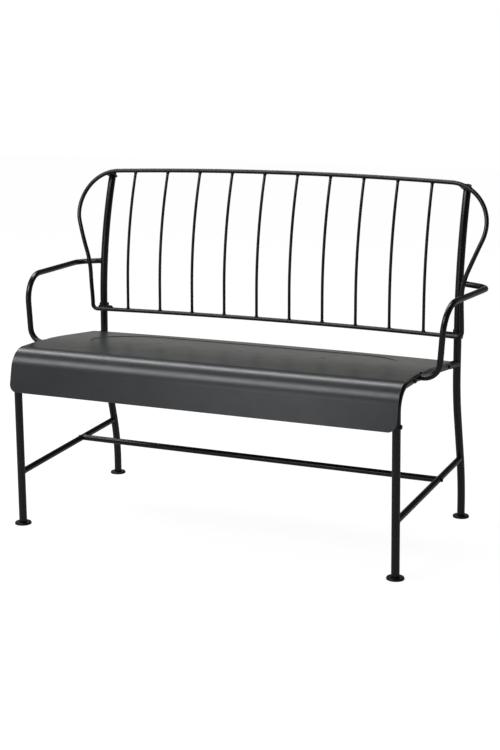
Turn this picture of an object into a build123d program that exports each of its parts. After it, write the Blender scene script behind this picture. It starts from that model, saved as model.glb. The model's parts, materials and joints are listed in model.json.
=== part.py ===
from build123d import *
import os
from math import atan2, cos, degrees, hypot, pi, radians, sin, sqrt, tan

os.makedirs("parts", exist_ok=True)

# A two-seat patio bench of bent steel tube with a pressed sheet seat and a barred back.
# Millimetres, +Z up, the sitter faces -Y, origin on the floor under the middle.

# Tubes, rods and sheet
leg_diameter = 19.6
leg_wall = 1.5
stretcher_diameter = 15.6
stretcher_wall = 1.4
arm_diameter = 14.6
arm_wall = 1.3
loop_diameter = 11.0
slat_diameter = 7.6
sheet = 1.5

# Clearances and one overrun for every cut
weld_gap = 0.1
seat_gap = 0.3
hole_gap = 0.25
overrun = 40.0

# Front legs: each is one tube that turns over a knee into a seat rail
leg_inset = 7.7
front_foot_y = -245.6
knee_y = -256.4
knee_z = 442.2
knee_radius = 52.5
rail_bend_y = -92.1
rail_bend_radius = 1700.0
rail_fall_degrees = 5.37
rail_turnout_length = 57.0
rail_turnout_radius = 60.0

# Rear posts: upright at the foot, leaning in to the seat, upright behind it, then leaning back
post_outset = 7.5
post_behind_loop = 25.2
post_kick = 66.5
post_kick_z = 97.0
post_kick_radius = 523.0
post_knee_z = 335.0
post_knee_radius = 453.0
post_lean_length = 183.0
post_straight_top = 6.0
post_lean_degrees = 19.57
post_below_loop = 16.2
cap_rise = 2.6
cap_stem = 4.0

# Feet
foot_diameter = 42.0
foot_thickness = 5.2
foot_edge = 2.6
foot_stem = 18.0

# Stretchers
side_stretcher_front_z = 135.1
side_stretcher_rear_z = 160.9
cross_share = 0.633
plug_length = 22.0
bolt_diameter = 6.0
bolt_head_diameter = 11.0
bolt_head_height = 3.3
socket_width = 4.0
socket_depth = 2.0
stretcher_bolt_length = 30.0

# Arms: widths outside the post and the leg, heights above the knee's centre
arm_back_rise = 176.3
arm_back_outset = 76.5
arm_back_forward = 5.4
arm_back_radius = 29.0
arm_top_rise = 170.4
arm_front_outset = 63.0
arm_front_y = -106.5
arm_front_radius = 70.0
arm_foot_outset = 51.3
arm_foot_radius = 39.7

# Back: a flat loop with shoulders, bowed behind the sitter and leaned back
loop_rise = 46.3
loop_height = 383.7
loop_outset = 18.4
shoulder_outset = 95.1
shoulder_radius = 101.0
shoulder_drop = 249.8
waist_radius = 200.0
lower_corner_radius = 13.0
back_y = 202.8
back_lean_rise = 71.5
back_lean_radius = 865.0
bow_radius = 3850.0
crown_radius = 15100.0
wing_dip = 11.0
wing_dip_inset = 92.6
wing_dip_rise = 26.5
wing_rise = 8.0
wing_cross_drop = 136.2
slat_count = 10
slat_end_gap = 102.7
slat_flare_diameter = 10.8
slat_flare_length = 6.5
slat_flare_start = 3.0
slat_flare_tip_diameter = 7.0

# Back fixings: an eye over each post's upper end; below, a lug, a saddle and a bolt from behind
eye_radius = 13.8
eye_thickness = 3.0
eye_below_top = 8.0
eye_overlap = 3.0
lug_thickness = 3.0
lug_length = 44.0
lug_height = 14.4
lug_inset = 15.2
lug_rise = 2.5
saddle_wall = 2.1
saddle_height = 23.0
saddle_cheek = 7.0
saddle_edge = 0.8
saddle_neck_width = 13.0
saddle_neck_height = 14.0

# Seat: one sheet with a waterfall front, turned edges, a shallow dish and drain holes
seat_half_width = 504.4
seat_corner_y = -262.9
apron_lean_degrees = 10.8
seat_front_radius = 55.2
apron_bottom_z = 349.0
apron_corner_radius = 20.0
seat_rear_y = 174.7
seat_rear_corner_radius = 12.0
edge_lip = 3.5
rear_lip = 9.0
dish_front_y = -132.0
dish_rear_y = 125.0
dish_end_inset = 99.4
dish_depth = 1.6
dish_lift = 4.0
dish_slope_degrees = 68.0
drain_diameter = 4.0
drain_spread = 6.0
drain_pitch = 225.0
drain_y = -7.0
notch_width = 17.0
notch_depth = 2.4

# Seat fixings: angles under the sheet, bolted through the tubes
rail_bolt_front_y = -155.0
rail_bolt_rear_y = 120.0
leg_bolt_z = 357.0
bracket_length = 24.0
bracket_thickness = 2.0
bracket_drop = 7.5
bracket_shelf = 16.0
nut_width = 10.0
nut_height = 5.0
seat_bolt_stickout = 1.5

leg_x = seat_half_width - leg_inset
post_x = leg_x + post_outset
post_y = back_y - post_x ** 2 / (2 * bow_radius) + post_behind_loop
arm_back_x = post_x + arm_back_outset
arm_back_y = post_y - arm_back_forward
arm_front_x = leg_x + arm_front_outset
arm_foot_x = leg_x + arm_foot_outset
loop_lower_x = post_x + loop_outset
shoulder_x = loop_lower_x + shoulder_outset
lug_x = post_x - lug_inset
slat_pitch = 2 * (loop_lower_x - slat_end_gap) / (slat_count - 1)

arm_back_z = knee_z + arm_back_rise
arm_top_z = knee_z + arm_top_rise
loop_bottom_z = knee_z + loop_rise
loop_top_z = loop_bottom_z + loop_height
waist_z = loop_top_z - shoulder_drop
back_lean_z = loop_bottom_z + back_lean_rise
wing_dip_low_z = loop_bottom_z + wing_dip_rise
wing_cross_z = loop_top_z - wing_cross_drop
wing_rise_top_z = loop_top_z
lug_z = loop_bottom_z + lug_rise
post_top_z = loop_top_z - post_below_loop

leg_radius = leg_diameter / 2
rail_fall = radians(rail_fall_degrees)
post_lean = radians(post_lean_degrees)
seat_offset = leg_radius + seat_gap + sheet
loop_radius = loop_diameter / 2
straight_share = 1e-4
SIDES = {"left": -1, "right": 1}


def save(name, shape):
    export_step(shape, f"parts/{name}.step")


def mirrored(shape):
    return mirror(shape, about=Plane.YZ)


def save_pair(name, right_shape):
    save(f"{name}_right", right_shape)
    save(f"{name}_left", mirrored(right_shape))


def save_group(name, shapes):
    save(name, Compound(children=list(shapes)))


def ring_plane(path, at):
    return Plane(origin=path @ at, z_dir=path % at)


def rod(path, diameter):
    return sweep(ring_plane(path, 0) * Circle(diameter / 2), path=path)


def tube(path, diameter, wall):
    section = Circle(diameter / 2) - Circle(diameter / 2 - wall)
    return sweep(ring_plane(path, 0) * section, path=path)


def above(shape, height):
    return split(shape, bisect_by=Plane.XY.offset(height), keep=Keep.TOP)


def block(x_range, y_range, z_range):
    """A box given by its limits on each axis."""
    limits = (x_range, y_range, z_range)
    sizes = [high - low for low, high in limits]
    return Pos(*[(low + high) / 2 for low, high in limits]) * Box(*sizes)


# Front leg and seat rail

rail_end_z = knee_z - (post_y - rail_bend_y) * tan(rail_fall)
rail_curve_start_y = rail_bend_y - rail_bend_radius * tan(rail_fall / 2)
rail_curve_end_y = rail_bend_y + rail_bend_radius * sin(rail_fall) - rail_bend_radius * tan(rail_fall / 2)
leg_lean = (front_foot_y - knee_y) / knee_z


def rail_z(y):
    """Height of the rail's centre line: level, then curved, then falling."""
    if y >= rail_curve_end_y:
        return knee_z - (y - rail_bend_y) * tan(rail_fall)
    along = max(y - rail_curve_start_y, 0)
    return knee_z - rail_bend_radius + sqrt(rail_bend_radius ** 2 - along ** 2)


def leg_y(z):
    """Front leg's centre line, which leans forward as it rises."""
    return front_foot_y - leg_lean * z


turnout_y = post_y - rail_turnout_length
leg_path = FilletPolyline(
    (leg_x, leg_y(-overrun), -overrun),
    (leg_x, knee_y, knee_z),
    (leg_x, rail_bend_y, knee_z),
    (leg_x, turnout_y, rail_z(turnout_y)),
    (post_x, post_y, rail_end_z),
    radius=(knee_radius, rail_bend_radius, rail_turnout_radius),
)

# Rear post

post_foot_y = post_y + post_kick
post_lean_z = post_top_z - post_lean_length * cos(post_lean)
post_lean_radius = (post_lean_length - post_straight_top) / tan(post_lean / 2)
post_path = FilletPolyline(
    (post_x, post_foot_y, -overrun),
    (post_x, post_foot_y, post_kick_z),
    (post_x, post_y, post_knee_z),
    (post_x, post_y, post_lean_z),
    (post_x, post_y + post_lean_length * sin(post_lean), post_top_z),
    radius=(post_kick_radius, post_knee_radius, post_lean_radius),
)
post_top = post_path @ 1
post_core = rod(post_path, leg_diameter + 2 * weld_gap)
leg_core = rod(leg_path, leg_diameter + 2 * weld_gap)

# Side and cross stretchers

side_front = Vector(leg_x, leg_y(side_stretcher_front_z), side_stretcher_front_z)
post_slope = post_kick / (post_knee_z - post_kick_z)
side_rear_y = post_y + (post_knee_z - side_stretcher_rear_z) * post_slope
side_rear = Vector(post_x, side_rear_y, side_stretcher_rear_z)
side_path = Line(side_front, side_rear)
side_core = rod(side_path, stretcher_diameter + 2 * weld_gap)
cross_right = side_front + (side_rear - side_front) * cross_share
cross_left = Vector(-cross_right.X, cross_right.Y, cross_right.Z)
cross_path = Line(cross_left, cross_right)

# Arm

lean_start_z = post_lean_z - post_lean_length + post_straight_top
post_lean_rise = max(arm_back_z - lean_start_z, 0)
arm_root = Vector(post_x, post_y + post_lean_rise ** 2 / (2 * post_lean_radius), arm_back_z)
arm_path = FilletPolyline(
    arm_root,
    (arm_back_x, arm_back_y, arm_top_z),
    (arm_front_x, arm_front_y, arm_top_z),
    (arm_foot_x, arm_front_y, rail_z(arm_front_y)),
    (leg_x, arm_front_y, rail_z(arm_front_y)),
    radius=(arm_back_radius, arm_front_radius, arm_foot_radius),
)

# Back loop and slats


def smoothstep(value):
    value = min(max(value, 0.0), 1.0)
    return value * value * (3 - 2 * value)


def half_wave(value, low, high):
    """Rises from 0 at low to 1 halfway and back to 0 at high."""
    return sin(pi * min(max((value - low) / (high - low), 0), 1))


def formed(x, z):
    """A point of the flat back after it is crowned, bowed and leaned."""
    height_share = (z - loop_bottom_z) / (loop_top_z - loop_bottom_z)
    low_z = z - height_share * x * x / (2 * crown_radius)
    lean = max(low_z - back_lean_z, 0) ** 2 / (2 * back_lean_radius)
    bow = x * x / (2 * bow_radius)
    wing = smoothstep((abs(x) - loop_lower_x) / wing_dip_inset + 1)
    forward = -wing_rise * half_wave(low_z, wing_cross_z, wing_rise_top_z)
    forward += wing_dip * half_wave(low_z, wing_dip_low_z, wing_cross_z)
    return Vector(x, back_y + lean - bow - wing * forward, low_z)


def biarc(start, start_way, end, end_way):
    """Two arcs that join two points and leave them in the given directions."""
    across = end - start
    ways = start_way + end_way
    bend = 2 * (1 - start_way.dot(end_way))
    along = across.dot(ways)
    if bend < 1e-9:
        reach = across.dot(across) / (2 * along)
    else:
        reach = (-along + sqrt(along * along + bend * across.dot(across))) / bend
    first = start + start_way * reach
    last = end - end_way * reach
    middle = (first + last) / 2
    return [bend_or_line(start, start_way, middle), bend_or_line(middle, (last - first).normalized(), end)]


def bend_or_line(start, way, end):
    chord = (end - start).normalized()
    if way.cross(chord).length < straight_share:
        return Line(start, end)
    return TangentArc(start, end, tangent=way)


def formed_way(point, way):
    """The direction on the formed back of a direction on the flat one."""
    probe = way.normalized() * weld_gap
    ahead, behind = point + probe, point - probe
    return (formed(ahead.X, ahead.Z) - formed(behind.X, behind.Z)).normalized()


def formed_path(flat_points, flat_ways):
    """Bend a flat route over the back's form as a chain of tangent arcs."""
    points = [formed(p.X, p.Z) for p in flat_points]
    ways = [formed_way(point, way) for point, way in zip(flat_points, flat_ways)]
    edges = []
    for i in range(len(points) - 1):
        edges += biarc(points[i], ways[i], points[i + 1], ways[i + 1])
    return Wire([edge.edge() for edge in edges])


taper = atan2(shoulder_outset, shoulder_drop)
half_outline = FilletPolyline(
    (0, 0, loop_top_z),
    (shoulder_x, 0, loop_top_z),
    (loop_lower_x, 0, waist_z),
    (loop_lower_x, 0, loop_bottom_z),
    (0, 0, loop_bottom_z),
    radius=(shoulder_radius, waist_radius, lower_corner_radius),
)
half_slats = [(number + 1 / 2) * slat_pitch for number in range(slat_count // 2)]


def node_shares(edge, pieces):
    """Equal steps along an edge, or the slats' positions on a level run."""
    if pieces:
        return [(step + 1) / pieces for step in range(pieces)]
    start, end = (edge @ 0).X, (edge @ 1).X
    return sorted((x - start) / (end - start) for x in half_slats) + [1]


pieces_share = (0, 6, 3, 3, 2, 2, 0)
flat_points, flat_ways = [half_outline @ 0], [half_outline.edges()[0] % 0]
for edge, pieces in zip(half_outline.edges(), pieces_share):
    for share in node_shares(edge, pieces):
        flat_points.append(edge @ share)
        flat_ways.append(edge % share)
loop_path = formed_path(flat_points, flat_ways)
half_loop = split(rod(loop_path, loop_diameter), bisect_by=Plane.YZ.offset(weld_gap / 2), keep=Keep.TOP)
loop_core = rod(loop_path, loop_diameter + 2 * weld_gap)


def slat_path(x):
    heights = [loop_bottom_z, back_lean_z, (back_lean_z + loop_top_z) / 2, loop_top_z]
    return formed_path([Vector(x, 0, z) for z in heights], [Vector(0, 0, 1)] * len(heights))


def loop_cutter(x, z):
    """A straight stand-in for the loop's nearly straight top or bottom run at one slat."""
    ahead, behind = formed(x + slat_diameter, z), formed(x - slat_diameter, z)
    plane = Plane(origin=formed(x, z), z_dir=ahead - behind)
    return plane * Cylinder(loop_radius + weld_gap, 3 * slat_flare_diameter)


def slat(x):
    path = slat_path(x)
    bar = rod(path, slat_diameter)
    for at, way in ((0, 1), (1, -1)):
        start = Plane(origin=path @ at, z_dir=(path % at) * way).offset(slat_flare_start)
        rise = loop_radius + slat_flare_length - slat_flare_start
        start_radius = slat_flare_diameter / 2
        bar += start * Cone(start_radius, slat_flare_tip_diameter / 2, rise, align=LOW)
    for z in (loop_bottom_z, loop_top_z):
        bar -= loop_cutter(x, z)
    return bar


LOW = (Align.CENTER, Align.CENTER, Align.MIN)


# Fasteners


def button_bolt(length):
    """Head on +Z of the origin, shank down -Z, a hexagon socket in the head."""
    head = Cylinder(bolt_head_diameter / 2, bolt_head_height, align=LOW)
    head = fillet(head.edges().filter_by(GeomType.CIRCLE).sort_by(Axis.Z)[-1], bolt_head_height * 0.6)
    socket = extrude(RegularPolygon(socket_width / 2, 6, major_radius=False), socket_depth)
    head -= Pos(0, 0, bolt_head_height - socket_depth) * socket
    shank = Cylinder(bolt_diameter / 2, length, align=(Align.CENTER, Align.CENTER, Align.MAX))
    return head + shank


def hole(length):
    return Cylinder(bolt_diameter / 2 + hole_gap, length)


def nut():
    body = extrude(RegularPolygon(nut_width / 2, 6, major_radius=False), nut_height)
    return body - hole(overrun)


# Eye at the top of the right post, square to the post and coped to the loop

post_end = Plane(origin=post_top, x_dir=Vector(1, 0, 0), z_dir=post_path % 1)
eye_plane = post_end.offset(-eye_below_top - eye_thickness / 2)
shoulder_reach = shoulder_radius * tan(pi / 4 + taper / 2)
shoulder_rise = sqrt(shoulder_radius ** 2 - (post_x - shoulder_x + shoulder_reach) ** 2)
loop_at_eye = eye_plane.to_local_coords(formed(post_x, loop_top_z - shoulder_radius + shoulder_rise))
eye_front = -loop_at_eye.Y - loop_radius + eye_overlap
eye_tongue = Pos(0, -eye_front / 2, 0) * Rectangle(2 * eye_radius, eye_front)
eye_outline = Circle(eye_radius) + eye_tongue - Circle(leg_radius + seat_gap)
eye = eye_plane * extrude(eye_outline, eye_thickness) - loop_core

# Lug behind the right lower corner of the loop, a saddle between it and the post, and their bolt

rod_point = formed(lug_x, loop_bottom_z)
rod_ahead = formed(lug_x + lug_length / 2, loop_bottom_z)
lug_way = (rod_ahead - formed(lug_x - lug_length / 2, loop_bottom_z)).normalized()
lug_front = Plane(
    origin=Vector(rod_point.X, rod_point.Y, lug_z), x_dir=lug_way, z_dir=Vector(lug_way.Y, -lug_way.X, 0)
).offset(-loop_radius - 2 * weld_gap)
lug_rear = lug_front.offset(-lug_thickness)
lug_bolt_tip_y = lug_front.origin.Y + (post_x - lug_front.origin.X) * lug_way.Y / lug_way.X + seat_gap
lug_bolt_spot = Pos(post_x, post_y + leg_radius + weld_gap, lug_z) * Rotation(-90, 0, 0)
lug_bolt_length = post_y + leg_radius + weld_gap - lug_bolt_tip_y
lug_bolt = lug_bolt_spot * button_bolt(lug_bolt_length)
lug_thread = lug_bolt_spot * Cylinder(bolt_diameter / 2 + weld_gap, 2 * lug_bolt_length)
lug_hole = lug_bolt_spot * hole(2 * lug_bolt_length)
lug = lug_rear * extrude(SlotOverall(lug_length, lug_height), lug_thickness) - loop_core - lug_thread


def saddle():
    """A half sleeve round the post's front with straight cheeks, and a neck to the lug."""
    reach = leg_radius + weld_gap + saddle_wall
    body = Circle(reach) + Pos(0, saddle_cheek / 2) * Rectangle(2 * reach, saddle_cheek)
    behind = Pos(0, saddle_cheek + reach) * Rectangle(4 * reach, 2 * reach)
    body = extrude(body - behind, saddle_height / 2, both=True)
    levels = body.edges().group_by(Axis.Z)
    body = chamfer(levels[0] + levels[-1], saddle_edge)
    body += Pos(0, -reach, 0) * Box(saddle_neck_width, 2 * reach, saddle_neck_height)
    body = Pos(post_x, post_y, lug_z) * body
    body = split(body, bisect_by=lug_rear.offset(-weld_gap), keep=Keep.BOTTOM)
    inside = leg_radius + weld_gap
    cheek_gap = block(
        (post_x - inside, post_x + inside), (post_y, post_y + overrun),
        (lug_z - saddle_height, lug_z + saddle_height),
    )
    return body - post_core - cheek_gap - lug_hole


# Seat sheet


apron_lean = radians(apron_lean_degrees)


def seat_profile(inset):
    """Corners of the sheet's side view, moved inward from its outer face by inset."""
    top = knee_z + seat_offset - inset
    corner_y = seat_corner_y + inset * tan(pi / 4 - apron_lean / 2)
    bend_y = rail_bend_y + (seat_offset - inset) * tan(rail_fall / 2)
    low_z, rear_y = apron_bottom_z - overrun, seat_rear_y + overrun
    return [
        (0, corner_y - (top - low_z) * tan(apron_lean), low_z),
        (0, corner_y, top),
        (0, bend_y, top),
        (0, rear_y, top - (rear_y - bend_y) * tan(rail_fall)),
    ]


def seat_band(near, far):
    """The space between two insets of the seat's outer face."""
    lines = []
    for inset in (near, far):
        radii = (seat_front_radius - inset, rail_bend_radius + seat_offset - inset)
        lines.append(FilletPolyline(*seat_profile(inset), radius=radii))
    outer, inner = lines
    closing = [Line(outer @ 0, inner @ 0), Line(outer @ 1, inner @ 1)]
    face = make_face([*outer.edges(), *inner.edges(), *closing])
    return extrude(face, seat_half_width + overrun, dir=(1, 0, 0), both=True)


def seat_outline(inset):
    """The space over the seat's plan that also lies above the apron's lower edge."""
    side = seat_half_width - inset
    rear = seat_rear_y - inset
    corner_y = rear - side ** 2 / (2 * bow_radius)
    front = 2 * seat_corner_y
    plan = make_face([
        Line((-side, corner_y), (-side, front)),
        Line((-side, front), (side, front)),
        Line((side, front), (side, corner_y)),
        ThreePointArc((side, corner_y), (0, rear), (-side, corner_y)),
    ])
    corners = plan.vertices().sort_by(Axis.Y)[-2:]
    plan = fillet(corners, seat_rear_corner_radius - inset)
    low, high = apron_bottom_z + inset, knee_z + overrun
    front_view = Plane.XZ * Pos(0, (low + high) / 2) * Rectangle(2 * side, high - low)
    lower = front_view.vertices().sort_by(Axis.Z)[:2]
    front_view = fillet(lower, apron_corner_radius - inset)
    return extrude(plan, knee_z + overrun) & extrude(front_view, 2 * seat_half_width, both=True)


def dish(inset):
    """The pressed hollow: a stadium with sloping sides, cut from a little above the sheet."""
    slope = radians(dish_slope_degrees)
    grow = inset * tan(pi / 4 - (pi / 2 - slope) / 2)
    middle_y = (dish_front_y + dish_rear_y) / 2
    fall = atan2(rail_z(dish_front_y) - rail_z(dish_rear_y), dish_rear_y - dish_front_y)
    chord_z = (rail_z(dish_front_y) + rail_z(dish_rear_y)) / 2 + seat_offset / cos(fall)
    spread = dish_lift * tan(slope) + grow
    half_length = seat_half_width - dish_end_inset + spread
    outline = SlotOverall(2 * half_length, dish_rear_y - dish_front_y + 2 * spread)
    basin = extrude(outline, -4 * dish_lift, taper=dish_slope_degrees)
    basin = Pos(0, middle_y, chord_z + dish_lift) * Rotation(-degrees(fall), 0, 0) * basin
    return basin & seat_band(-2 * dish_lift, dish_depth + inset)


def seat_bracket(x_side, centre, low_z, high_z, y_range, far):
    """An angle under the sheet: a shelf against it and a web beside the tube."""
    inner = x_side - bracket_thickness
    shelf_x, web_x = (x_side - bracket_shelf, x_side), (inner, x_side)
    near = sheet + weld_gap
    web = seat_band(near, far) & block(web_x, y_range, (low_z, high_z))
    shelf = seat_band(near, near + bracket_thickness) & block(shelf_x, y_range, (low_z, high_z))
    return web + shelf - centre * Rotation(0, 90, 0) * hole(overrun)


outline = seat_outline(0)
inner_outline = seat_outline(sheet)
rear_zone = block(
    (-seat_half_width, seat_half_width),
    (rail_curve_end_y, seat_rear_y + overrun),
    (apron_bottom_z, knee_z + overrun),
)
seat_pan = seat_band(0, sheet) & outline
seat_pan += (seat_band(0, edge_lip) & outline) - inner_outline
seat_pan += (seat_band(0, rear_lip) & outline & rear_zone) - inner_outline
seat_pan -= leg_core + mirrored(leg_core)
dish_top, dish_under = dish(0), dish(sheet)
seat_pan = (seat_pan - dish_top) + ((dish_under - dish_top) & seat_band(0, 2 * dish_lift))

drains = [(drain_spread, 0), (-drain_spread, 0), (0, drain_spread), (0, -drain_spread)]
for column in (-1, 0, 1):
    for dx, dy in drains:
        spot = Pos(column * drain_pitch + dx, drain_y + dy, knee_z)
        seat_pan -= spot * Cylinder(drain_diameter / 2, 2 * overrun)
for side in SIDES.values():
    edge = Pos(side * seat_half_width, arm_front_y, knee_z)
    seat_pan -= edge * Box(2 * notch_depth, notch_width, overrun)

# Seat fixings on the right side

bracket_x = leg_x - leg_radius - weld_gap
leg_bolt_y = leg_y(leg_bolt_z)
seat_bolt_spots = [
    Pos(leg_x, leg_bolt_y, leg_bolt_z),
    Pos(leg_x, rail_bolt_front_y, rail_z(rail_bolt_front_y)),
    Pos(leg_x, rail_bolt_rear_y, rail_z(rail_bolt_rear_y)),
]
apron_reach = (leg_bolt_y - seat_corner_y) + (knee_z + seat_offset - leg_bolt_z) * tan(apron_lean)
apron_inset = apron_reach * cos(apron_lean)
front_bracket = seat_bracket(
    bracket_x, seat_bolt_spots[0], apron_bottom_z + edge_lip + seat_gap,
    apron_bottom_z + edge_lip + seat_gap + bracket_length, (2 * seat_corner_y, 0), apron_inset + bracket_drop,
)
brackets = [front_bracket]
for spot, bolt_y in ((seat_bolt_spots[1], rail_bolt_front_y), (seat_bolt_spots[2], rail_bolt_rear_y)):
    y_range = (bolt_y - bracket_length / 2, bolt_y + bracket_length / 2)
    far = seat_offset + bracket_drop
    brackets.append(seat_bracket(bracket_x, spot, apron_bottom_z, knee_z + overrun, y_range, far))

outward = Rotation(0, 90, 0)
bolt_reach = leg_radius + weld_gap
bolt_length = 2 * bolt_reach + bracket_thickness + weld_gap + nut_height + seat_bolt_stickout
nut_start = -bolt_reach - bracket_thickness - weld_gap - nut_height
seat_bolts = [spot * Pos(bolt_reach, 0, 0) * outward * button_bolt(bolt_length) for spot in seat_bolt_spots]
seat_nuts = [spot * Pos(nut_start, 0, 0) * outward * nut() for spot in seat_bolt_spots]
seat_holes = [spot * outward * hole(leg_diameter + overrun / 4) for spot in seat_bolt_spots]

# Stretcher bolt and the threaded plug in the cross stretcher's end

cross_spot = Pos(cross_right.X, cross_right.Y, cross_right.Z)
side_radius = stretcher_diameter / 2
stretcher_bolt = cross_spot * Pos(side_radius + weld_gap, 0, 0) * outward * button_bolt(stretcher_bolt_length)
stretcher_hole = cross_spot * outward * hole(stretcher_diameter + overrun / 4)
plug_end = Vector(cross_right.X - side_radius - plug_length, cross_right.Y, cross_right.Z)
plug_core = rod(Line(plug_end, cross_right), stretcher_diameter - 2 * stretcher_wall - 2 * weld_gap)
plug_thread = cross_spot * outward * Cylinder(bolt_diameter / 2 + weld_gap, 4 * plug_length)
plug = plug_core - side_core - plug_thread

# Feet and caps


def foot(x, y, path):
    """A domed disc on the floor with a stem up the tube's own line."""
    disc = Cylinder(foot_diameter / 2, foot_thickness, align=LOW)
    disc = fillet(disc.edges().filter_by(GeomType.CIRCLE).sort_by(Axis.Z)[-1], foot_edge)
    stem = rod(path, leg_diameter - 2 * leg_wall - 2 * seat_gap)
    reach = (foot_diameter, foot_thickness / 2, foot_thickness + foot_stem)
    stem &= block((x - reach[0], x + reach[0]), (y - reach[0], y + reach[0]), reach[1:])
    return Pos(x, y, 0) * disc + stem


def post_cap():
    cap = Pos(0, 0, weld_gap) * Cylinder(leg_radius, cap_rise, align=LOW)
    cap = fillet(cap.edges().filter_by(GeomType.CIRCLE).sort_by(Axis.Z)[-1], cap_rise * 0.9)
    cap += Cylinder(leg_radius - leg_wall - seat_gap, cap_stem, align=(Align.CENTER, Align.CENTER, Align.MAX))
    cap += Cylinder(leg_radius - leg_wall - seat_gap, cap_rise / 2, align=LOW)
    return ring_plane(post_path, 1) * cap


# Output

leg = above(tube(leg_path, leg_diameter, leg_wall), foot_thickness + weld_gap) - post_core
post = above(tube(post_path, leg_diameter, leg_wall), foot_thickness + weld_gap)
side_tube = tube(side_path, stretcher_diameter, stretcher_wall) - leg_core - post_core - stretcher_hole
arm = tube(arm_path, arm_diameter, arm_wall) - leg_core - post_core
cross = tube(cross_path, stretcher_diameter, stretcher_wall) - side_core - mirrored(side_core)
for cut in seat_holes:
    leg -= cut
post -= lug_hole

save_pair("front_leg_rail", leg)
save_pair("rear_post", post)
save_pair("post_cap", post_cap())
save_pair("front_foot", foot(leg_x, leg_y(0), leg_path))
save_pair("rear_foot", foot(post_x, post_foot_y, post_path))
save_pair("side_stretcher", side_tube)
save("cross_stretcher", cross)
save_group("stretcher_plugs", [plug, mirrored(plug)])
save_group("stretcher_bolts", [stretcher_bolt, mirrored(stretcher_bolt)])
save_pair("arm_tube", arm)
save_pair("back_loop", half_loop)
for number in range(slat_count):
    save(f"back_slat_{number + 1:02d}", slat((number - (slat_count - 1) / 2) * slat_pitch))
save_pair("upper_eye", eye)
save_pair("lower_lug", lug)
save_pair("lower_saddle", saddle())
save_group("lug_bolts", [lug_bolt, mirrored(lug_bolt)])
save("seat_pan", seat_pan)
save_group("seat_brackets", brackets + [mirrored(bracket) for bracket in brackets])
save_group("seat_bolts", seat_bolts + [mirrored(bolt) for bolt in seat_bolts])
save_group("seat_nuts", seat_nuts + [mirrored(part) for part in seat_nuts])
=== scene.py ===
import json
import math
import random

import bmesh
import bpy
from mathutils import Matrix, Vector


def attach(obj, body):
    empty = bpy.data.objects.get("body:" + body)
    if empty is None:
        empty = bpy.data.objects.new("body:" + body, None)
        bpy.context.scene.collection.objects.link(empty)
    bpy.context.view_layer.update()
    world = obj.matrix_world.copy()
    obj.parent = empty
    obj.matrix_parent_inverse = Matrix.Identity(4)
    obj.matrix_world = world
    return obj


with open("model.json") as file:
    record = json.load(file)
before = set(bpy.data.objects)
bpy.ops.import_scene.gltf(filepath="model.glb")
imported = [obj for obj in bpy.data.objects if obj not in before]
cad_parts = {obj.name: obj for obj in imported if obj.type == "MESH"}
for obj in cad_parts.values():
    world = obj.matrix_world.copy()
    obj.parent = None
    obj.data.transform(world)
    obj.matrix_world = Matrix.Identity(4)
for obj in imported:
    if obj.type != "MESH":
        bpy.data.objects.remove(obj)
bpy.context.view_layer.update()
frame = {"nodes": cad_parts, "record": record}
nodes = frame["nodes"]
seed = 7
rng = random.Random(seed)
bpy.context.scene.view_settings.view_transform = "Standard"

# Camera at the photograph's angle: millimetres for the lens, metres and degrees for its place

sensor_width, focal_length, lens_shift = 36.0, 70.85, -0.1173
camera_place = (1.5068, -3.3139, 1.171)
camera_tilt, camera_turn = 81.16, 24.09
camera_range = 50.0

camera_data = bpy.data.cameras.new("camera")
camera_data.sensor_width = sensor_width
camera_data.lens = focal_length
camera_data.shift_y = lens_shift
camera_data.clip_end = camera_range
camera = bpy.data.objects.new("camera", camera_data)
camera.location = camera_place
camera.rotation_euler = (math.radians(camera_tilt), 0.0, math.radians(camera_turn))
bpy.context.collection.objects.link(camera)
bpy.context.scene.camera = camera

# Where a noise's values mostly lie
noise_span = (0.3, 0.7)


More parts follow.
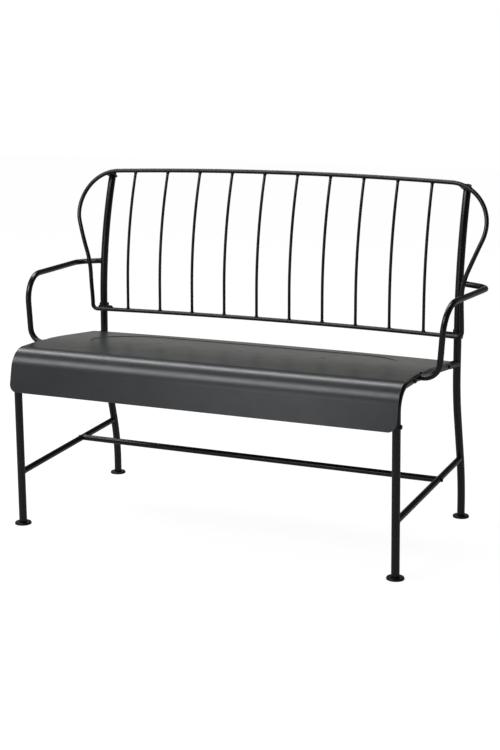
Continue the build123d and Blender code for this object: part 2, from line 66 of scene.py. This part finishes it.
class Graph:
    """Short calls for building a node tree."""

    def __init__(self, tree):
        self.tree = tree

    def add(self, kind, **values):
        node = self.tree.nodes.new(kind)
        for key, value in values.items():
            setattr(node, key, value)
        return node

    def set(self, socket, value):
        """Link an output to the socket, or write a number or a colour there."""
        if isinstance(value, bpy.types.NodeSocket):
            self.tree.links.new(value, socket)
        elif isinstance(value, tuple):
            socket.default_value = (*value, 1.0)
        else:
            socket.default_value = value

    def place(self):
        return self.add("ShaderNodeTexCoord").outputs["Object"]

    def noise(self, vector, scale, detail=3.0):
        node = self.add("ShaderNodeTexNoise")
        self.set(node.inputs["Scale"], scale)
        self.set(node.inputs["Detail"], detail)
        self.set(node.inputs["Vector"], vector)
        return node.outputs["Fac"]

    def cells(self, vector, scale):
        node = self.add("ShaderNodeTexVoronoi")
        self.set(node.inputs["Scale"], scale)
        self.set(node.inputs["Vector"], vector)
        return node.outputs["Distance"]

    def stretched(self, vector, scales):
        node = self.add("ShaderNodeMapping")
        self.set(node.inputs["Vector"], vector)
        node.inputs["Scale"].default_value = scales
        return node.outputs["Vector"]

    def range(self, value, low, high, to_low, to_high):
        node = self.add("ShaderNodeMapRange", clamp=True)
        self.set(node.inputs["Value"], value)
        limits = {"From Min": low, "From Max": high, "To Min": to_low, "To Max": to_high}
        for name, limit in limits.items():
            self.set(node.inputs[name], limit)
        return node.outputs["Result"]

    def uneven(self, vector, scale, middle, spread):
        """The middle value, up to the spread more or less from place to place."""
        noise = self.noise(vector, scale)
        return self.range(noise, *noise_span, middle - spread, middle + spread)

    def math(self, operation, a, b):
        node = self.add("ShaderNodeMath", operation=operation)
        self.set(node.inputs[0], a)
        self.set(node.inputs[1], b)
        return node.outputs[0]

    def blend(self, factor, low, high, kind="RGBA"):
        """Low where the factor is 0 and high where it is 1."""
        node = self.add("ShaderNodeMix", data_type=kind)
        self.set(node.inputs["Factor"], factor)
        self.set(node.inputs["A"], low)
        self.set(node.inputs["B"], high)
        return node.outputs["Result"]

    def bump(self, height, distance, normal=None):
        node = self.add("ShaderNodeBump")
        self.set(node.inputs["Distance"], distance)
        self.set(node.inputs["Height"], height)
        if normal is not None:
            self.set(node.inputs["Normal"], normal)
        return node.outputs["Normal"]


def new_material(name):
    material = bpy.data.materials.new(name)
    material.use_nodes = True
    material.node_tree.nodes.clear()
    graph = Graph(material.node_tree)
    shader = graph.add("ShaderNodeBsdfPrincipled")
    out = graph.add("ShaderNodeOutputMaterial")
    graph.set(out.inputs["Surface"], shader.outputs["BSDF"])
    return material, graph, shader


# Finishes: heights in metres, scales in cells to the metre, edges as the values that a
# pattern starts and ends at

cloud_scale, cloud_detail, cloud_edges = 11.0, 4.0, (0.35, 0.65)
gloss_scale, gloss_spread = 34.0, 0.02
scratch_scales, scratch_detail, scratch_edges = (9.0, 420.0, 60.0), 2.0, (0.62, 0.72)
scratch_gloss = 0.05
patch_scale, patch_edges = 5.0, (0.5, 0.7)
peel_detail = 1.0
grain_scale, grain_detail, grain_height = 2200.0, 2.0, 0.000003


def coat(name, low, high, rough, specular, peel_scale, peel_height, scratched=False):
    """Powder coat: orange peel, fine grain, slow changes of colour and gloss, and scratches."""
    material, g, shader = new_material(name)
    place = g.place()
    cloud = g.range(g.noise(place, cloud_scale, cloud_detail), *cloud_edges, 0.0, 1.0)
    g.set(shader.inputs["Base Color"], g.blend(cloud, low, high))
    gloss = g.uneven(place, gloss_scale, rough, gloss_spread)
    if scratched:
        lines = g.noise(g.stretched(place, scratch_scales), 1.0, scratch_detail)
        scratches = g.range(lines, *scratch_edges, 0.0, scratch_gloss)
        patches = g.range(g.noise(place, patch_scale), *patch_edges, 0.0, 1.0)
        gloss = g.math("ADD", gloss, g.math("MULTIPLY", scratches, patches))
    g.set(shader.inputs["Roughness"], gloss)
    g.set(shader.inputs["Specular IOR Level"], specular)
    peeled = g.bump(g.noise(place, peel_scale, peel_detail), peel_height)
    grain = g.noise(place, grain_scale, grain_detail)
    g.set(shader.inputs["Normal"], g.bump(grain, grain_height, peeled))
    return material


pit_scale, pit_edges, pit_height = 1500.0, (0.0, 0.6), 0.00002
scuff_heights = (0.0005, 0.0035)
scuff_scale, scuff_edges = 260.0, (0.45, 0.65)
mould_scale, mould_spread = 60.0, 0.04


def moulded(name, low, high, scuffed, rough, specular):
    """Moulded plastic with a spark-eroded grain, scuffed pale next to the floor."""
    material, g, shader = new_material(name)
    place = g.place()
    pits = g.cells(place, pit_scale)
    plain = g.blend(g.range(pits, *pit_edges, 0.0, 1.0), low, high)
    height = g.add("ShaderNodeSeparateXYZ")
    g.set(height.inputs[0], place)
    near_floor = g.range(height.outputs["Z"], *scuff_heights, 1.0, 0.0)
    patches = g.range(g.noise(place, scuff_scale), *scuff_edges, 0.0, 1.0)
    scuffs = g.math("MULTIPLY", near_floor, patches)
    g.set(shader.inputs["Base Color"], g.blend(scuffs, plain, scuffed))
    g.set(shader.inputs["Roughness"], g.uneven(place, mould_scale, rough, mould_spread))
    g.set(shader.inputs["Specular IOR Level"], specular)
    g.set(shader.inputs["Normal"], g.bump(pits, pit_height))
    return material


spangle_scale, spangle_edges = 420.0, (0.1, 0.7)
plate_scale, plate_spread = 90.0, 0.06
plate_grain_scale, plate_grain_height = 1600.0, 0.00001


def plated(name, low, high, rough):
    """Zinc plate: a dull metal with cloudy spangle."""
    material, g, shader = new_material(name)
    place = g.place()
    spangle = g.range(g.cells(place, spangle_scale), *spangle_edges, 0.0, 1.0)
    g.set(shader.inputs["Base Color"], g.blend(spangle, low, high))
    g.set(shader.inputs["Roughness"], g.uneven(place, plate_scale, rough, plate_spread))
    g.set(shader.inputs["Metallic"], 1.0)
    g.set(shader.inputs["Normal"], g.bump(g.noise(place, plate_grain_scale), plate_grain_height))
    return material


finishes = {
    "frame_coat": coat(
        "frame_coat",
        low=(0.0024, 0.0024, 0.0022),
        high=(0.0038, 0.0038, 0.0035),
        rough=0.26,
        specular=0.42,
        peel_scale=420.0,
        peel_height=0.000004,
    ),
    "seat_coat": coat(
        "seat_coat",
        low=(0.0155, 0.0165, 0.0188),
        high=(0.0182, 0.0193, 0.0218),
        rough=0.32,
        specular=0.5,
        peel_scale=330.0,
        peel_height=0.000006,
        scratched=True,
    ),
    "foot_plastic": moulded(
        "foot_plastic",
        low=(0.0022, 0.0022, 0.0022),
        high=(0.0045, 0.0045, 0.0045),
        scuffed=(0.014, 0.014, 0.0135),
        rough=0.34,
        specular=0.3,
    ),
    "bolt_black": coat(
        "bolt_black",
        low=(0.0030, 0.0030, 0.0030),
        high=(0.0060, 0.0060, 0.0060),
        rough=0.28,
        specular=0.35,
        peel_scale=900.0,
        peel_height=0.000003,
    ),
    "nut_zinc": plated(
        "nut_zinc",
        low=(0.42, 0.42, 0.41),
        high=(0.55, 0.55, 0.53),
        rough=0.36,
    ),
}
for part in frame["record"]["subparts"]:
    node = nodes[part["node"]]
    node.data.materials.clear()
    node.data.materials.append(finishes[part["material_slot"]])

# Weld beads where one tube ends on another, at the tubes' own places: metres and slopes

frame_radius = 0.0098
stretcher_radius = 0.0078
arm_radius = 0.0073
bead_radius = 0.0013
bead_steps = 72
bead_sides = 10
ripple_pitch = 0.0021
ripple_depth = 0.00013

leg_x, leg_foot_y, leg_slope = 0.4967, -0.2456, 0.02442
post_x, post_y = 0.5042, 0.195
stretcher_front_z, stretcher_rear_z = 0.1351, 0.1609
post_kick_z, post_slope = 0.335, 0.27941
arm_root = Vector((0.5042, 0.2011, 0.6185))
arm_turn = Vector((0.5807, 0.1896, 0.6126))
post_lean_at_arm = 0.109
arm_foot = Vector((0.548, -0.1065, 0.4409))
rail_fall_at_arm = 0.038


def seam_point(way, radius, crossing, host_way, angle):
    """Where a line along the branch tube's skin meets the frame tube's skin, and the way out.

    Both middle lines run through the crossing.
    """
    side = way.orthogonal().normalized()
    start = crossing + radius * (math.cos(angle) * side + math.sin(angle) * way.cross(side))
    across = start - crossing
    flat_start = across - across.dot(host_way) * host_way
    flat_way = way - way.dot(host_way) * host_way
    a = flat_way.dot(flat_way)
    b = flat_start.dot(flat_way)
    c = flat_start.dot(flat_start) - frame_radius ** 2
    point = start + (-b + math.sqrt(b * b - a * c)) / a * way
    reach = point - crossing
    host_out = reach - reach.dot(host_way) * host_way
    return point, (across.normalized() + host_out.normalized()).normalized()


def bead(name, points, normals):
    """A closed rippled bead round the line of points, its rings turned to the normals."""
    form = bmesh.new()
    rings = []
    travelled = 0.0
    phase = rng.uniform(0.0, math.tau)
    count = len(points)
    for i, (point, normal) in enumerate(zip(points, normals)):
        following = points[(i + 1) % count]
        binormal = (following - points[i - 1]).normalized().cross(normal).normalized()
        radius = bead_radius + ripple_depth * math.sin(math.tau * travelled / ripple_pitch + phase)
        turns = [math.tau * k / bead_sides for k in range(bead_sides)]
        offsets = [math.cos(turn) * normal + math.sin(turn) * binormal for turn in turns]
        rings.append([form.verts.new(point + radius * offset) for offset in offsets])
        travelled += (following - point).length
    for i in range(count):
        this, after = rings[i - 1], rings[i]
        for k in range(bead_sides):
            form.faces.new((this[k - 1], this[k], after[k], after[k - 1]))
    bmesh.ops.recalc_face_normals(form, faces=form.faces)
    for face in form.faces:
        face.smooth = True
    mesh = bpy.data.meshes.new(name)
    form.to_mesh(mesh)
    form.free()
    mesh.materials.append(finishes["frame_coat"])
    piece = bpy.data.objects.new(name, mesh)
    bpy.context.collection.objects.link(piece)
    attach(piece, "root")


def tube_weld(name, way, radius, crossing, host_way):
    """The bead round a tube's end on a frame tube, on both sides of the object."""
    tubes = (way.normalized(), radius, crossing, host_way.normalized())
    seam = [seam_point(*tubes, math.tau * step / bead_steps) for step in range(bead_steps)]
    for side, sign in (("right", 1.0), ("left", -1.0)):
        flip = Vector((sign, 1.0, 1.0))
        points = [point * flip for point, _ in seam]
        normals = [normal * flip for _, normal in seam]
        bead(f"{name}_{side}", points, normals)


leg_at = Vector((leg_x, leg_foot_y - leg_slope * stretcher_front_z, stretcher_front_z))
leg_way = Vector((0.0, -leg_slope, 1.0))
post_at = Vector((post_x, post_y + (post_kick_z - stretcher_rear_z) * post_slope, stretcher_rear_z))
post_way = Vector((0.0, -post_slope, 1.0))
stretcher_way = post_at - leg_at
arm_post_way = Vector((0.0, math.sin(post_lean_at_arm), math.cos(post_lean_at_arm)))
rail_at = Vector((leg_x, arm_foot.y, arm_foot.z))
rail_way = Vector((0.0, 1.0, -rail_fall_at_arm))

tube_weld("stretcher_front_weld", stretcher_way, stretcher_radius, leg_at, leg_way)
tube_weld("stretcher_rear_weld", -stretcher_way, stretcher_radius, post_at, post_way)
tube_weld("arm_post_weld", arm_turn - arm_root, arm_radius, arm_root, arm_post_way)
tube_weld("arm_rail_weld", arm_foot - rail_at, arm_radius, rail_at, rail_way)

# Floor: white to the camera, dimmed in reflections, with the object's soft shadow

glow_share = 0.88
glow_strength = 1.04
glossy_dimming = 0.78
floor_colour = (0.9, 0.9, 0.9)
floor_reach = 12.0
floor_drop = 0.0005

floor_finish, g, floor_paint = new_material("floor")
g.set(floor_paint.inputs["Base Color"], floor_colour)
g.set(floor_paint.inputs["Roughness"], 1.0)
g.set(floor_paint.inputs["Specular IOR Level"], 0.0)
rays = g.add("ShaderNodeLightPath").outputs
reflected = g.math("MAXIMUM", rays["Is Glossy Ray"], rays["Is Transmission Ray"])
seen = g.math("MAXIMUM", rays["Is Camera Ray"], reflected)
glow = g.add("ShaderNodeEmission")
dimming = g.math("MULTIPLY", reflected, glossy_dimming)
g.set(glow.inputs["Strength"], g.math("SUBTRACT", glow_strength, dimming))
mixed = g.add("ShaderNodeMixShader")
g.set(mixed.inputs[0], g.math("MULTIPLY", seen, glow_share))
g.set(mixed.inputs[1], floor_paint.outputs["BSDF"])
g.set(mixed.inputs[2], glow.outputs["Emission"])
g.set(g.tree.nodes["Material Output"].inputs["Surface"], mixed.outputs["Shader"])

floor_data = bpy.data.meshes.new("floor")
corners = [(-1, -1, 0), (1, -1, 0), (1, 1, 0), (-1, 1, 0)]
floor_data.from_pydata([Vector(corner) * floor_reach for corner in corners], [], [(0, 1, 2, 3)])
floor_data.materials.append(floor_finish)
floor = bpy.data.objects.new("floor", floor_data)
floor.location.z = -floor_drop
bpy.context.collection.objects.link(floor)

# Backdrop: white to the camera; in reflections it dims above the horizon, to the right and
# to the front

backdrop_white, backdrop_strength = (1.0, 1.0, 1.0), 1.0
ambient = 0.68
backdrop_in_gloss = 0.52
backdrop_tint = (1.0, 1.01, 0.92)
horizon, ceiling_share = (0.185, 0.29), 0.12
right_span, right_share = (-0.25, 0.4), 0.3
front_span, front_share = (-0.9, -0.3), 0.45

world = bpy.data.worlds.new("studio")
world.use_nodes = True
bpy.context.scene.world = world
g = Graph(world.node_tree)
rays = g.add("ShaderNodeLightPath").outputs
reflected = g.math("MAXIMUM", rays["Is Glossy Ray"], rays["Is Transmission Ray"])
direction = g.add("ShaderNodeSeparateXYZ")
g.set(direction.inputs[0], g.add("ShaderNodeTexCoord").outputs["Generated"])
rising = g.range(direction.outputs["Z"], *horizon, 1.0, ceiling_share)
rightward = g.range(direction.outputs["X"], *right_span, 1.0, right_share)
frontward = g.range(direction.outputs["Y"], *front_span, front_share, 1.0)
shaded = g.math("MULTIPLY", g.math("MULTIPLY", rising, rightward), frontward)
in_gloss = g.math("MULTIPLY", shaded, backdrop_in_gloss)
lit = g.blend(reflected, ambient, in_gloss, "FLOAT")
background = g.tree.nodes["Background"]
strength = g.blend(rays["Is Camera Ray"], lit, backdrop_strength, "FLOAT")
g.set(background.inputs["Strength"], strength)
g.set(background.inputs["Color"], g.blend(reflected, backdrop_white, backdrop_tint))

# Lamps: two long strips draw the seat's highlights, and a panel lights the apron

aim_z = 0.45
lamp_tint = (0.97, 0.985, 1.0)


def lamp(name, place, size, power):
    """A soft rectangle that faces the object's long axis."""
    data = bpy.data.lights.new(name, "AREA")
    data.shape = "RECTANGLE"
    data.size, data.size_y = size
    data.energy = power
    data.color = lamp_tint
    light = bpy.data.objects.new(name, data)
    light.location = place
    back = (Vector(place) - Vector((place[0], 0.0, aim_z))).normalized()
    along = Vector((1.0, 0.0, 0.0))
    light.rotation_euler = Matrix((along, back.cross(along), back)).transposed().to_euler()
    bpy.context.collection.objects.link(light)


lamp("back_strip", place=(-1.3, 0.9, 3.0), size=(3.0, 0.65), power=62.0)
lamp("front_strip", place=(-1.5, -1.9, 2.6), size=(2.8, 0.95), power=58.0)
lamp("front_panel", place=(-1.15, -3.6, 1.2), size=(0.7, 1.0), power=10.8)
